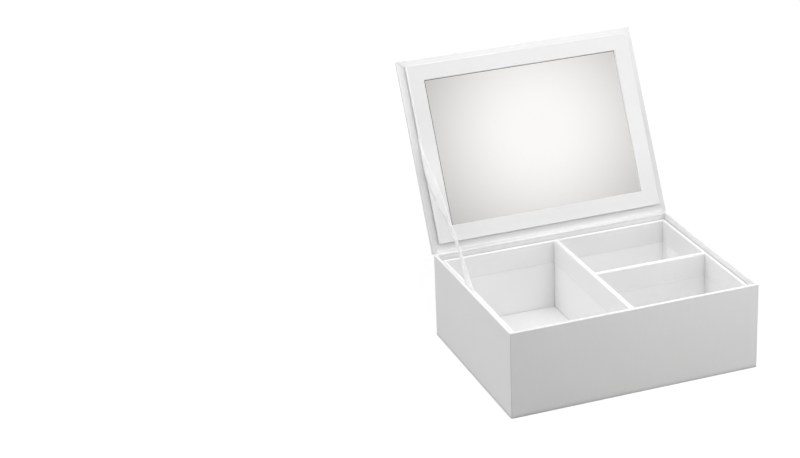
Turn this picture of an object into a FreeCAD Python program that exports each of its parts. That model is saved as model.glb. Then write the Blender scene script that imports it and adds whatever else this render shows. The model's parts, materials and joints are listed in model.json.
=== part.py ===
import FreeCAD, Part
import math
import os
import re

import Sketcher
from FreeCAD import Placement, Rotation, Vector

# A rigid jewellery box covered in white paper, in millimetres.
#
# The case is a box of greyboard walls. Three trays of thinner board stand side by side in it on a
# corrugated sheet, with their rims a little below the case's rim and a gap all round them, which is
# wider on the left, where a ribbon comes out of it. The lid is a flat board that swings on a paper
# strip along the case's back rim. A framed mirror is glued inside the lid and drops into the mouth of
# the case above the trays. The ribbon stops the lid as it leans back.
#
# +X is to the right, +Y to the back and +Z up. The origin is the middle of the underside.
# Pieces of the lid are drawn as they lie when it is shut, from the hinge line, and each body is then
# turned back about that line by the opening angle.

SIZES = (
    # the case
    ("case_width", 210.0),
    ("case_depth", 160.0),
    ("rim_height", 72.0),
    ("wall_board", 2.25),
    ("floor_board", 2.5),
    ("paper", 0.25),
    ("edge_round", 0.4),
    ("case_turn_in", 14.0),
    ("case_turn_under", 15.0),
    ("underside_sheet", 0.25),
    ("underside_margin", 3.0),
    # the trays and the sheet under them
    ("bed_sheet", 3.4),
    ("bed_clearance", 0.5),
    ("tray_board", 1.8),
    ("tray_gap", 2.25),
    ("trays_right", 0.7),
    ("trays_forward", 0.3),
    ("tray_seam", 0.1),
    ("tray_turn_in", 19.5),
    ("tray_turn_under", 8.0),
    ("long_seam_right", 0.6),
    ("cross_seam_forward", 0.8),
    # the lid and its hinge strip
    ("lid_board", 3.5),
    ("lid_overhang", 0.5),
    ("lid_turn_in", 15.0),
    ("lid_open_angle", 117.0),
    ("strip_sheet", 0.2),
    ("strip_side_gap", 0.5),
    ("strip_drop", 12.0),
    ("fold_gap", 0.1),
    ("label_side", 60.0),
    ("label_sheet", 0.1),
    ("label_forward", 3.2),
    # the mirror pad inside the lid
    ("pad_side_clearance", 3.05),
    ("pad_front_clearance", 2.05),
    ("pad_back_clearance", 4.15),
    ("pad_tray_clearance", 0.55),
    ("pad_undercut", 5.0),
    ("pad_turn_in", 7.0),
    ("spacer_board", 1.7),
    ("frame_board", 1.7),
    ("window_border", 13.5),
    ("window_turn_in", 4.0),
    ("mirror_glass", 1.5),
    ("mirror_lap", 4.0),
    ("mirror_clearance", 0.5),
    ("mirror_arris", 0.3),
    ("adhesive_inset", 6.0),
    # the ribbon
    ("ribbon_width", 13.0),
    ("ribbon_sheet", 0.3),
    ("ribbon_wall_gap", 0.65),
    ("ribbon_rim_y", 11.5),
    ("ribbon_lid_reach", 80.5),
    ("ribbon_pad_gap", 0.4),
    ("ribbon_tail", 20.0),
    ("ribbon_tuck", 4.6),
    ("ribbon_bow", 3.0),
)
ALIASES = {alias for alias, value in SIZES}

# Sizes that follow from the ones in the sheet, as formulas in their aliases.
WALL = "(wall_board + 2 * paper)"
CASE_FOOT = "underside_sheet"
CASE_FLOOR = "(underside_sheet + paper)"
BED_FLOOR = f"({CASE_FLOOR} + floor_board)"
TRAY_FOOT = f"({BED_FLOOR} + bed_sheet)"
MOUTH_WIDTH = f"(case_width - 2 * {WALL})"
MOUTH_DEPTH = f"(case_depth - 2 * {WALL})"
LID_LIFT = "(strip_sheet + fold_gap / 2)"
HINGE_Y = "(case_depth / 2)"
HINGE_Z = f"(rim_height + {LID_LIFT})"
LID_WIDTH = "(case_width + 2 * lid_overhang)"
LID_DEPTH = "(case_depth + lid_overhang)"
LID_THICK = "(lid_board + 2 * paper)"
STRIP_WIDTH = f"({MOUTH_WIDTH} - 2 * strip_side_gap)"
PAD_THICK = "(spacer_board + frame_board + 2 * paper)"
PAD_WIDTH = f"({MOUTH_WIDTH} - 2 * pad_side_clearance)"
PAD_FOOT = f"({WALL} + strip_sheet + pad_back_clearance)"
PAD_REACH = f"(case_depth - {WALL} - pad_front_clearance)"
PAD_DEPTH = f"({PAD_REACH} - {PAD_FOOT})"
PAD_MIDDLE = f"(({PAD_REACH} + {PAD_FOOT}) / 2)"
PAD_FACE = f"({LID_LIFT} - {PAD_THICK})"
WINDOW_WIDTH = f"({PAD_WIDTH} - 2 * window_border)"
WINDOW_DEPTH = f"({PAD_DEPTH} - 2 * window_border)"
MIRROR_WIDTH = f"({WINDOW_WIDTH} + 2 * mirror_lap)"
MIRROR_DEPTH = f"({WINDOW_DEPTH} + 2 * mirror_lap)"
MIRROR_FACE = f"({LID_LIFT} - spacer_board)"
SPACER_WIDTH = f"({PAD_WIDTH} - 2 * pad_undercut)"
SPACER_DEPTH = f"({PAD_DEPTH} - 2 * pad_undercut)"
SPACER_STRIP = "(window_border - mirror_lap - mirror_clearance - pad_undercut)"
TRAY_RIM = f"({HINGE_Z} + {PAD_FACE} - pad_tray_clearance)"
TRAY_SIDE = f"({MOUTH_WIDTH} / 2 - tray_gap)"
TRAY_END = f"({MOUTH_DEPTH} / 2 - tray_gap)"
TRAYS_LEFT = f"(trays_right - {TRAY_SIDE})"
TRAYS_RIGHT = f"(trays_right + {TRAY_SIDE})"
TRAYS_FRONT = f"(-trays_forward - {TRAY_END})"
TRAYS_BACK = f"(-trays_forward + {TRAY_END})"
LONG_SEAM = ("(long_seam_right - tray_seam / 2)", "(long_seam_right + tray_seam / 2)")
CROSS_SEAM = ("(-cross_seam_forward - tray_seam / 2)", "(-cross_seam_forward + tray_seam / 2)")

# Each tray's left, right, front and back, outside its paper.
TRAYS = {
    "left_tray": (TRAYS_LEFT, LONG_SEAM[0], TRAYS_FRONT, TRAYS_BACK),
    "front_tray": (LONG_SEAM[1], TRAYS_RIGHT, TRAYS_FRONT, CROSS_SEAM[0]),
    "back_tray": (LONG_SEAM[1], TRAYS_RIGHT, CROSS_SEAM[1], TRAYS_BACK),
}


def in_sheet(formula):
    """The formula with each alias read from the sheet, as setExpression wants it."""
    return re.sub(r"[a-z][a-z_]+", lambda word: "sizes." + word[0] if word[0] in ALIASES else word[0],
                  formula)


def bind(thing, **formulas):
    """Bind properties to formulas. A double underscore in a name stands for a dot."""
    for name, formula in formulas.items():
        thing.setExpression(name.replace("__", "."), in_sheet(formula))


def make_sheet(doc):
    """The spreadsheet of driving sizes, one row for each."""
    sheet = doc.addObject("Spreadsheet::Sheet", "sizes")
    for row, (alias, value) in enumerate(SIZES, 1):
        sheet.set(f"A{row}", alias.replace("_", " "))
        sheet.set(f"B{row}", str(value))
        sheet.setAlias(f"B{row}", alias)
    doc.recompute()
    return sheet


def new_body(doc, name, on_lid=False):
    """An empty body. One on the lid is turned back about the hinge line by the opening angle."""
    body = doc.addObject("PartDesign::Body", name)
    body.Label = name
    if on_lid:
        body.Placement = Placement(Vector(), Rotation(Vector(-1, 0, 0), 90))
        bind(body, Placement__Base__y=HINGE_Y, Placement__Base__z=HINGE_Z,
             Placement__Rotation__Angle="lid_open_angle")
    return body


def add_rectangle(sketch, label, width, depth):
    """A rectangle centred on the sketch's origin, its sides bound to two formulas."""
    first = sketch.GeometryCount
    corners = [Vector(-5, -5, 0), Vector(5, -5, 0), Vector(5, 5, 0), Vector(-5, 5, 0)]
    for start, end in zip(corners, corners[1:] + corners[:1]):
        sketch.addGeometry(Part.LineSegment(start, end), False)
    for side in range(4):
        sketch.addConstraint(Sketcher.Constraint("Coincident", first + side, 2,
                                                 first + (side + 1) % 4, 1))
        direction = "Vertical" if side % 2 else "Horizontal"
        sketch.addConstraint(Sketcher.Constraint(direction, first + side))
    sketch.addConstraint(Sketcher.Constraint("Symmetric", first, 1, first + 2, 1, -1, 1))
    for kind, line, formula in (("DistanceX", first, width), ("DistanceY", first + 1, depth)):
        number = sketch.addConstraint(Sketcher.Constraint(kind, line, 1, line, 2, 10.0))
        sketch.renameConstraint(number, f"{label}_{kind[-1].lower()}")
        bind(sketch, **{f"Constraints__{label}_{kind[-1].lower()}": formula})


def add_pad(body, name, outer, height, at, hole=None):
    """Pad a rectangle, or a ring when it has a hole, up from a level of the body.

    outer and hole are (width, depth) and at is the (x, y, z) of the middle of its underside.
    """
    sketch = body.newObject("Sketcher::SketchObject", f"{body.Name}_{name}_sketch")
    ground = next(plane for plane in body.Origin.OriginFeatures if plane.Role == "XY_Plane")
    sketch.AttachmentSupport = [(ground, "")]
    sketch.MapMode = "FlatFace"
    bind(sketch, AttachmentOffset__Base__x=at[0], AttachmentOffset__Base__y=at[1],
         AttachmentOffset__Base__z=at[2])
    add_rectangle(sketch, "outer", *outer)
    if hole:
        add_rectangle(sketch, "hole", *hole)
    pad = body.newObject("PartDesign::Pad", f"{body.Name}_{name}")
    pad.Profile = sketch
    bind(pad, Length=height)
    body.Tip = pad
    return pad


def finish_edges(body, kind, keep, size):
    """Fillet or chamfer the edges whose box passes the test keep."""
    body.Document.recompute()
    base = body.Tip
    names = [f"Edge{number}" for number, edge in enumerate(base.Shape.Edges, 1)
             if keep(edge.BoundBox)]
    feature = body.newObject(f"PartDesign::{kind}", f"{body.Name}_{kind.lower()}")
    feature.Base = (base, names)
    bind(feature, **{"Radius" if kind == "Fillet" else "Size": size})
    body.Tip = feature


def on_hull_sides(hull, *levels):
    """A test for the outline's edges of a block: its corners, and its sides at the given levels."""
    def at(value, *limits):
        return any(abs(value - limit) < 1e-4 for limit in limits)

    def keep(box):
        flat_x = at(box.XLength, 0) and at(box.XMin, hull.XMin, hull.XMax)
        flat_y = at(box.YLength, 0) and at(box.YMin, hull.YMin, hull.YMax)
        if flat_x and flat_y:
            return True
        return (flat_x or flat_y) and at(box.ZLength, 0) and at(box.ZMin, *levels)
    return keep


def local_box(body):
    """The tip's box in the body's own frame, before the body is placed."""
    body.Document.recompute()
    return body.Tip.Shape.BoundBox


def board(doc, name, size, at, on_lid=False):
    """A plain cut board or sheet: (width, depth, height) and the middle of its underside."""
    body = new_body(doc, name, on_lid)
    add_pad(body, "board", size[:2], size[2], at)
    return body


def shrunk(size, by):
    """A (width, depth) pair with the same margin taken off every side."""
    return tuple(f"({side} - 2 * ({by}))" for side in size)


def box_wrap(doc, name, size, at, rim, board_name, turn_in, turn_under):
    """The paper round a box: outside, over the rim, down inside, and turned under its floor."""
    x, y, foot = at
    inside = shrunk(size, f"{board_name} + 2 * paper")
    body = new_body(doc, name)
    add_pad(body, "outside", size, f"{rim} - {foot}", at, hole=shrunk(size, "paper"))
    add_pad(body, "over_rim", size, "paper", (x, y, f"{rim} - paper"), hole=inside)
    add_pad(body, "turned_in", shrunk(size, f"{board_name} + paper"), turn_in,
            (x, y, f"{rim} - {turn_in}"), hole=inside)
    add_pad(body, "turned_under", size, "paper", at, hole=shrunk(size, turn_under))
    hull = local_box(body)

    def rim_inside(box):
        level = abs(box.ZMin - hull.ZMax) < 1e-4 and abs(box.ZMax - hull.ZMax) < 1e-4
        return level or on_hull_sides(hull, hull.ZMin, hull.ZMax)(box)
    finish_edges(body, "Fillet", rim_inside, "edge_round")
    return body


def wall_boards(doc, prefix, size, at, height, thick):
    """Four walls: the front and back run the full width, and the sides stand between them."""
    x, y, z = at
    width, depth = size
    side_depth = f"({depth} - 2 * {thick})"
    for name, sign in (("front", "-"), ("back", "+")):
        board(doc, f"{prefix}_{name}_board", (width, thick, height),
              (x, f"{y} {sign} ({depth} - {thick}) / 2", z))
    for name, sign in (("left", "-"), ("right", "+")):
        board(doc, f"{prefix}_{name}_board", (thick, side_depth, height),
              (f"{x} {sign} ({width} - {thick}) / 2", y, z))


def make_case(doc):
    """The case: floor, four walls, the paper round them and the sheet under them."""
    outside = ("case_width", "case_depth")
    board(doc, "underside_paper", shrunk(outside, "underside_margin") + ("underside_sheet",),
          ("0", "0", "0"))
    board(doc, "case_floor_board", shrunk(outside, "paper + wall_board") + ("floor_board",),
          ("0", "0", CASE_FLOOR))
    wall_boards(doc, "case", shrunk(outside, "paper"), ("0", "0", CASE_FLOOR),
                f"rim_height - paper - {CASE_FLOOR}", "wall_board")
    box_wrap(doc, "case_wrap", outside, ("0", "0", CASE_FOOT), "rim_height", "wall_board",
             "case_turn_in", "case_turn_under")
    board(doc, "tray_bed_sheet", (f"{MOUTH_WIDTH} - 2 * bed_clearance",
                                  f"{MOUTH_DEPTH} - 2 * bed_clearance", "bed_sheet"),
          ("0", "0", BED_FLOOR))


def make_tray(doc, name, left, right, front, back):
    """One tray: a floor between four walls of thinner board, covered like the case."""
    size = (f"({right} - {left})", f"({back} - {front})")
    middle = (f"({right} + {left}) / 2", f"({back} + {front}) / 2")
    level = f"({TRAY_FOOT} + paper)"
    board(doc, f"{name}_floor_board", shrunk(size, "paper + tray_board") + ("tray_board",),
          middle + (level,))
    wall_boards(doc, name, shrunk(size, "paper"), middle + (level,),
                f"{TRAY_RIM} - paper - {level}", "tray_board")
    box_wrap(doc, f"{name}_wrap", size, middle + (TRAY_FOOT,), TRAY_RIM, "tray_board",
             "tray_turn_in", "tray_turn_under")


def make_lid(doc):
    """The lid: one thick board, its paper turned in on the inner face, and the dark label."""
    outline = (LID_WIDTH, LID_DEPTH)
    middle = ("0", f"-{LID_DEPTH} / 2")
    board(doc, "lid_board", shrunk(outline, "paper") + ("lid_board",),
          middle + (f"{LID_LIFT} + paper",), on_lid=True)
    wrap = new_body(doc, "lid_wrap", on_lid=True)
    add_pad(wrap, "edges", outline, LID_THICK, middle + (LID_LIFT,), hole=shrunk(outline, "paper"))
    add_pad(wrap, "outer_face", outline, "paper", middle + (f"{LID_LIFT} + paper + lid_board",))
    add_pad(wrap, "turned_in", outline, "paper", middle + (LID_LIFT,),
            hole=shrunk(outline, "lid_turn_in"))
    hull = local_box(wrap)
    finish_edges(wrap, "Fillet", on_hull_sides(hull, hull.ZMin, hull.ZMax), "edge_round")
    board(doc, "lid_label", ("label_side", "label_side", "label_sheet"),
          ("0", f"-{LID_DEPTH} / 2 - label_forward", f"{LID_LIFT} + {LID_THICK}"), on_lid=True)


def make_hinge_strip(doc):
    """The paper strip that is the hinge, cut at its fold into the case's leaf and the lid's leaf."""
    case_leaf = new_body(doc, "hinge_strip_case")
    cover = f"({WALL} + strip_sheet)"
    add_pad(case_leaf, "on_rim", (STRIP_WIDTH, cover), "strip_sheet",
            ("0", f"{HINGE_Y} - {cover} / 2", "rim_height"))
    add_pad(case_leaf, "down_wall", (STRIP_WIDTH, "strip_sheet"), "strip_drop + strip_sheet",
            ("0", f"{HINGE_Y} - {WALL} - strip_sheet / 2", "rim_height - strip_drop"))
    board(doc, "hinge_strip_lid", (STRIP_WIDTH, PAD_FOOT, "strip_sheet"),
          ("0", f"-{PAD_FOOT} / 2", f"{LID_LIFT} - strip_sheet"), on_lid=True)


def make_mirror_pad(doc):
    """The mirror between four spacer strips, and the covered frame whose window shows it."""
    middle = ("0", f"-{PAD_MIDDLE}")
    board(doc, "mirror_adhesive", (f"{MIRROR_WIDTH} - 2 * adhesive_inset",
                                   f"{MIRROR_DEPTH} - 2 * adhesive_inset",
                                   "spacer_board + paper - mirror_glass"),
          middle + (f"{MIRROR_FACE} + mirror_glass",), on_lid=True)
    mirror = board(doc, "mirror", (MIRROR_WIDTH, MIRROR_DEPTH, "mirror_glass"),
                   middle + (MIRROR_FACE,), on_lid=True)
    hull = local_box(mirror)
    finish_edges(mirror, "Chamfer", lambda box: abs(box.ZMax - hull.ZMin) < 1e-4, "mirror_arris")
    for name, sign in (("back", "+"), ("front", "-")):
        board(doc, f"spacer_{name}", (SPACER_WIDTH, SPACER_STRIP, "spacer_board"),
              ("0", f"-{PAD_MIDDLE} {sign} ({SPACER_DEPTH} - {SPACER_STRIP}) / 2", MIRROR_FACE),
              on_lid=True)
    for name, sign in (("left", "-"), ("right", "+")):
        board(doc, f"spacer_{name}",
              (SPACER_STRIP, f"{SPACER_DEPTH} - 2 * {SPACER_STRIP}", "spacer_board"),
              (f"{sign}({SPACER_WIDTH} - {SPACER_STRIP}) / 2", middle[1], MIRROR_FACE), on_lid=True)
    make_pad_frame(doc, middle)


def make_pad_frame(doc, middle):
    """The frame's die-cut board, and its paper turned round the outline and the window."""
    outline = (PAD_WIDTH, PAD_DEPTH)
    window = (WINDOW_WIDTH, WINDOW_DEPTH)
    back = f"({MIRROR_FACE} - paper)"
    frame = new_body(doc, "pad_frame_board", on_lid=True)
    add_pad(frame, "board", shrunk(outline, "paper"), "frame_board",
            middle + (f"{PAD_FACE} + paper",), hole=shrunk(window, "-paper"))
    wrap = new_body(doc, "pad_frame_wrap", on_lid=True)
    height = "frame_board + 2 * paper"
    add_pad(wrap, "face", outline, "paper", middle + (PAD_FACE,), hole=window)
    add_pad(wrap, "edges", outline, height, middle + (PAD_FACE,), hole=shrunk(outline, "paper"))
    add_pad(wrap, "window_edges", shrunk(window, "-paper"), height, middle + (PAD_FACE,), hole=window)
    add_pad(wrap, "turned_in", outline, "paper", middle + (back,), hole=shrunk(outline, "pad_turn_in"))
    add_pad(wrap, "window_turned_in", shrunk(window, "-window_turn_in"), "paper", middle + (back,),
            hole=window)
    hull = local_box(wrap)

    def face_edges(box):
        in_face = abs(box.ZMax - hull.ZMin) < 1e-4
        upright = box.ZLength > 1 and on_hull_sides(hull)(box)
        return in_face or upright
    finish_edges(wrap, "Fillet", face_edges, "edge_round")


def lid_frame(size):
    """The hinge point, and the open lid's directions: away from the hinge and in to the box."""
    angle = math.radians(size("lid_open_angle"))
    lift = size("strip_sheet") + size("fold_gap") / 2
    hinge = Vector(0, size("case_depth") / 2, size("rim_height") + lift)
    away = Vector(0, -math.cos(angle), math.sin(angle))
    inward = Vector(0, -math.sin(angle), -math.cos(angle))
    return hinge, away, inward, lift


def strip_section(centre, half_width, normal, thick):
    """A thin rectangle across a strip, from its half width vector and its normal."""
    half_thick = normal * (thick / 2)
    corners = [centre + half_width + half_thick, centre - half_width + half_thick,
               centre - half_width - half_thick, centre + half_width - half_thick]
    return Part.makePolygon(corners + corners[:1])


def ribbon_shape(size):
    """The ribbon stay: a tail in the gap left of the trays, a twisted free length, and a tuck.

    It is flat against the case's side at the bottom and against the pad's side at the top, and
    its middle turns a little out of that plane as a ribbon does that is fixed at a slant.
    """
    hinge, away, inward, lift = lid_frame(size)
    wall = size("wall_board") + 2 * size("paper")
    mouth = size("case_width") / 2 - wall
    side = Vector(1, 0, 0)
    thick = size("ribbon_sheet")
    wall_side = -(mouth - size("ribbon_wall_gap") - thick / 2)
    bottom = Vector(wall_side, size("ribbon_rim_y"), size("rim_height"))
    tuck_level = size("spacer_board") / 2 - lift
    pad_side = -(mouth - size("pad_side_clearance") + size("ribbon_pad_gap"))
    top = hinge + Vector(pad_side, 0, 0) + away * size("ribbon_lid_reach") + inward * tuck_level
    run = top - bottom
    along = Vector(run)
    along.normalize()
    across = side.cross(along)
    across.normalize()
    slant = math.acos(along.dot(away))
    half = size("ribbon_width") / 2

    start = half / math.tan(slant) * 1.2
    length = run.Length
    sections = [strip_section(bottom - along * size("ribbon_tail"), across * half, side, thick)]
    for share, turn, bow in ((0.0, 0, 0.0), (0.17, 2, 0.5), (0.3, -14, 0.9), (0.4, -22, 1.0),
                             (0.55, -10, 0.9), (0.72, 2, 0.45)):
        middle = bottom + along * (share * length) + side * (bow * size("ribbon_bow"))
        spin = Rotation(along, turn)
        sections.append(strip_section(middle, spin.multVec(across * half), spin.multVec(side), thick))
    sections.append(strip_section(top - along * start, across * half, side, thick))
    slanted = away * (half / math.sin(slant))
    sections.append(strip_section(top, slanted, side, thick))
    free = Part.makeLoft(sections, True, True)

    tuck = side * size("ribbon_tuck") + away * (size("ribbon_tuck") / math.tan(slant))
    root = top - side * (thick / 2)
    edge = [root - slanted, root + slanted, root + slanted + tuck, root - slanted + tuck]
    flat = Part.Face(Part.makePolygon(edge + edge[:1])).extrude(inward * thick)
    flat.translate(inward * (-thick / 2))
    return free.fuse(flat).removeSplitter()


def make_ribbon(doc, sheet):
    """The ribbon stay, shaped by Part's own functions from the sheet's sizes."""
    ribbon = doc.addObject("Part::Feature", "ribbon_stay")
    ribbon.Label = "ribbon_stay"
    ribbon.Shape = ribbon_shape(lambda alias: float(sheet.get(alias)))


def check(doc):
    """Stop if any object failed, or any piece has no valid solid."""
    for thing in doc.Objects:
        if {"Invalid", "Error"} & set(thing.State):
            raise RuntimeError(f"{thing.Name} failed: {thing.State}")
    for piece in pieces(doc):
        shape = piece.Shape
        if shape.isNull() or not shape.isValid() or len(shape.Solids) != 1:
            raise RuntimeError(f"{piece.Label} has no single valid solid")


def pieces(doc):
    """The finished pieces: every body, and the ribbon."""
    return [thing for thing in doc.Objects
            if thing.TypeId == "PartDesign::Body" or thing.Name == "ribbon_stay"]


def main():
    doc = FreeCAD.newDocument("jewellery_box")
    sheet = make_sheet(doc)
    make_case(doc)
    for name, sides in TRAYS.items():
        make_tray(doc, name, *sides)
    make_lid(doc)
    make_hinge_strip(doc)
    make_mirror_pad(doc)
    make_ribbon(doc, sheet)
    doc.recompute()
    check(doc)
    os.makedirs("parts", exist_ok=True)
    for piece in pieces(doc):
        piece.Shape.exportStep(f"parts/{piece.Label}.step")
        print(piece.Label, round(piece.Shape.Volume, 1))


main()
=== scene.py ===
import json
import math

import bmesh
import bpy
from mathutils import Matrix, Vector, noise


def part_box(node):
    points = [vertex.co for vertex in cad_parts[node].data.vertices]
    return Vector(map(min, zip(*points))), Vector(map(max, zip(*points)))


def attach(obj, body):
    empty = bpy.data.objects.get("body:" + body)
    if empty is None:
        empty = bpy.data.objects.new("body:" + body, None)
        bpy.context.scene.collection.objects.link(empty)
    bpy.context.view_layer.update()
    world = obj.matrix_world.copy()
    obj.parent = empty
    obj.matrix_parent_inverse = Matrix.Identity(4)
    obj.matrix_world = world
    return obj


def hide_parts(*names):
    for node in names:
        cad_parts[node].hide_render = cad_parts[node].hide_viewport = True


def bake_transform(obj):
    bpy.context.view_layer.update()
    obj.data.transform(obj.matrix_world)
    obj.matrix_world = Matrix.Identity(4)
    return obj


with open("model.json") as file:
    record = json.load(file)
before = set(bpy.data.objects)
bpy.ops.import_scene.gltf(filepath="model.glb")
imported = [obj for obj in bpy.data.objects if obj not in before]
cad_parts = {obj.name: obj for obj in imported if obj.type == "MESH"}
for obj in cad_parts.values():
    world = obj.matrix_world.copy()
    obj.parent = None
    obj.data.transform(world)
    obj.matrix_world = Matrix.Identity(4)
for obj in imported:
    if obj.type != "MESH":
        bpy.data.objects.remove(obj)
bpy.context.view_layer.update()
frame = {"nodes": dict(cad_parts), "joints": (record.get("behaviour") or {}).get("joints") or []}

bl_info = {
    "name": "Mirror-lid jewellery box",
    "version": (1, 0, 0),
    "blender": (4, 5, 0),
    "location": "3D View > Sidebar > Jewellery Box",
    "description": "Papers, boards, mirror pad, ribbon and stage of a board jewellery box",
    "category": "Object",
}

# The box stands open. The frame gives every board's place; lid pieces are made as they lie when the
# lid is shut and are then swung open about the hinge line.
MM = 0.001
LID_HINGE = frame["joints"][0]
HINGE = Vector(LID_HINGE["pos_m"])
OPEN_ANGLE = math.radians(LID_HINGE["range_deg"][1])
SWING_SHUT = (Matrix.Translation(HINGE) @ Matrix.Rotation(OPEN_ANGLE, 4, "X")
              @ Matrix.Translation(-HINGE))
SWING_OPEN = SWING_SHUT.inverted()
UP_THE_LID = Vector((0.0, -math.cos(OPEN_ANGLE), math.sin(OPEN_ANGLE)))
LID_FACING = Vector((0.0, -math.sin(OPEN_ANGLE), -math.cos(OPEN_ANGLE)))
TRAYS = ("left_tray", "front_tray", "back_tray")
TRAY_PARTS = ("floor", "front", "back", "left", "right")
SPACERS = ("spacer_back", "spacer_front", "spacer_left", "spacer_right")

# Two places nearer than this are the same place, in metres.
CLOSE = 1e-6

# How far the painted light and shade reach, in metres: the painted highlight below a paper's rim,
# the painted shade above the case's foot, the painted shading over the lid's inner face, the
# painted glow from the trays' outline over their outermost rims, and how far above a tray's floor
# its painted shade reaches.
RIM_DEPTH = 0.0011
FOOT_DEPTH = 0.0035
INNER_SKIN = 0.001
RIM_GLOW_REACH = 0.0026
FLOOR_SEAM = 0.0001


# ---------------------------------------------------------------- settings

def length(name, description, size):
    """A length setting, its default in millimetres."""
    return bpy.props.FloatProperty(name=name, description=description, default=size * MM,
                                   min=0.0, precision=5, subtype="DISTANCE", unit="LENGTH")


def angle(name, description, degrees):
    """An angle setting, its default in degrees."""
    return bpy.props.FloatProperty(name=name, description=description,
                                   default=math.radians(degrees), subtype="ANGLE",
                                   unit="ROTATION")


def number(name, description, value):
    """A plain positive number."""
    return bpy.props.FloatProperty(name=name, description=description, default=value, min=0.0)


def colour(name, description, red, green, blue):
    """A linear colour setting."""
    return bpy.props.FloatVectorProperty(name=name, description=description,
                                         default=(red, green, blue), size=3, min=0.0, max=1.0,
                                         subtype="COLOR")


class PaperSettings(bpy.types.PropertyGroup):
    """The covering papers and how they are folded."""
    sheet: length("Sheet", "Thickness of the covering paper", 0.25)
    fold: length("Fold", "Radius of the paper over the case's and lid's edges", 0.5)
    tray_fold: length("Tray fold", "Radius of the paper over a tray's edges", 0.7)
    slit: length("Slit", "Gap between two flaps that meet at a mitre", 0.16)
    tray_slit: length("Tray slit", "The same inside a tray", 0.04)
    case_turn_in: length("Case turn-in", "Paper down the inside of the case wall", 14.0)
    case_turn_under: length("Case turn-under", "Paper under the case floor", 15.0)
    tray_turn_in: length("Tray turn-in", "Paper down the inside of a tray wall", 19.5)
    tray_turn_under: length("Tray turn-under", "Paper under a tray floor", 8.0)
    lid_turn_in: length("Lid turn-in", "Paper on the lid's inner face", 15.0)
    tab: length("Corner tab", "How far a side flap laps round an inner corner", 2.6)
    lift: length("Edge lift", "How far the cut edge of a turn-in stands off the board", 0.14)
    waver: length("Edge waver", "How far a turn-in's cut edge strays from straight", 0.3)


class BoardSettings(bpy.types.PropertyGroup):
    """The cut boards."""
    joint_gap: length("Joint", "Open joint between two butted boards of the large tray", 0.4)
    small_gap: length("Small joint", "The same in the two small trays", 0.04)
    arris: length("Arris", "Softening of a cut edge", 0.12)


class PadSettings(bpy.types.PropertyGroup):
    """The covered frame round the mirror."""
    border: length("Border", "Width of the frame round the window", 13.5)
    turn_in: length("Turn-in", "Paper behind the frame's outline", 7.0)
    window_turn_in: length("Window turn-in", "Paper behind the window's edge", 4.0)
    edge: length("Edge", "Radius of the paper over the frame's edges", 0.6)
    mirror_arris: length("Mirror arris", "Ground edge of the mirror", 0.3)
    # The side and end margins, placed by the slip and the sink, are painted shade: the dark hairline
    # of the shaded gap round the mirror.
    side_margin: length("Side margin", "Dark hairline at the silvering's two sides", 0.55)
    end_margin: length("End margin", "Dark hairline at its foot and its top", 0.28)
    slip: length("Mirror slip", "How far the silvering sits right of the window's middle", 0.45)
    sink: length("Mirror sink", "How far it sits towards the hinge", 0.15)


class HingeSettings(bpy.types.PropertyGroup):
    """The strip that hinges the lid."""
    sheet: length("Sheet", "Thickness of the strip", 0.2)
    bend: length("Bend", "Where the bend at the hinge line starts, on either side", 0.8)


class RibbonSettings(bpy.types.PropertyGroup):
    """The ribbon that stops the lid."""
    width: length("Width", "Width of the ribbon", 13.0)
    sheet: length("Thickness", "Thickness of the ribbon", 0.25)
    rim_y: length("Rim place", "Where it crosses the case's left rim, from the middle", 11.5)
    lid_reach: length("Lid place", "Where it is glued, from the hinge line", 80.5)
    pad_gap: length("Pad gap", "Gap between the ribbon and the pad's side", 0.4)
    tail: length("Tail", "Glued end in the gap left of the trays", 20.0)
    tuck: length("Tuck", "Glued end under the mirror frame", 4.6)
    bow: length("Bow", "How far the middle bows in over the tray", 3.0)
    wall_gap: length("Wall gap", "Gap between the ribbon's middle and the case's wall", 0.8)
    fold_before: number("Fold start", "Share of the free length below the rim that folds", 0.2)
    fold_short: number("Fold end", "Share of it at the lid that follows the lid", 0.1)
    glow_depth: length("Glow depth", "How far light travels inside the ribbon", 0.6)
    # The ribbon's glow is painted light: it stands in for the light that comes through the ribbon
    # from behind.
    whitener: number("Whitener", "Glow of the cloth's optical whitener", 0.12)


class FinishSettings(bpy.types.PropertyGroup):
    """Colours of the papers, boards and mirror."""
    # The case's cover and the lid's cover are one paper; the lid's is set paler: painted light.
    cover: colour("Cover paper", "Paper outside the case", 0.870, 0.870, 0.865)
    lid: colour("Lid paper", "Paper outside the lid", 0.918, 0.918, 0.916)
    lining: colour("Tray paper", "Paper over the trays' rims", 0.885, 0.885, 0.885)
    pad: colour("Pad paper", "Paper on the mirror frame", 0.95, 0.947, 0.945)
    strip: colour("Hinge paper", "Strip that hinges the lid", 0.93, 0.93, 0.93)
    board: colour("White board", "Uncovered white board inside the trays", 0.925, 0.925, 0.925)
    # The trays' floors are painted darker: painted shade.
    floor_shade: number("Floor shade", "How much duller the trays' floors are", 0.01)
    grey_board: colour("Grey board", "Case, lid and spacer boards", 0.42, 0.41, 0.39)
    kraft: colour("Corrugated board", "Sheet under the trays", 0.40, 0.27, 0.16)
    label: colour("Label", "Printed square on the lid", 0.0105, 0.0105, 0.011)
    silver: colour("Mirror", "Silvering seen through clear glass", 0.955, 0.95, 0.94)
    ribbon: colour("Ribbon", "Satin ribbon", 0.97, 0.97, 0.965)
    glue: colour("Adhesive", "Foam tape behind the mirror", 0.75, 0.75, 0.73)


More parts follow.
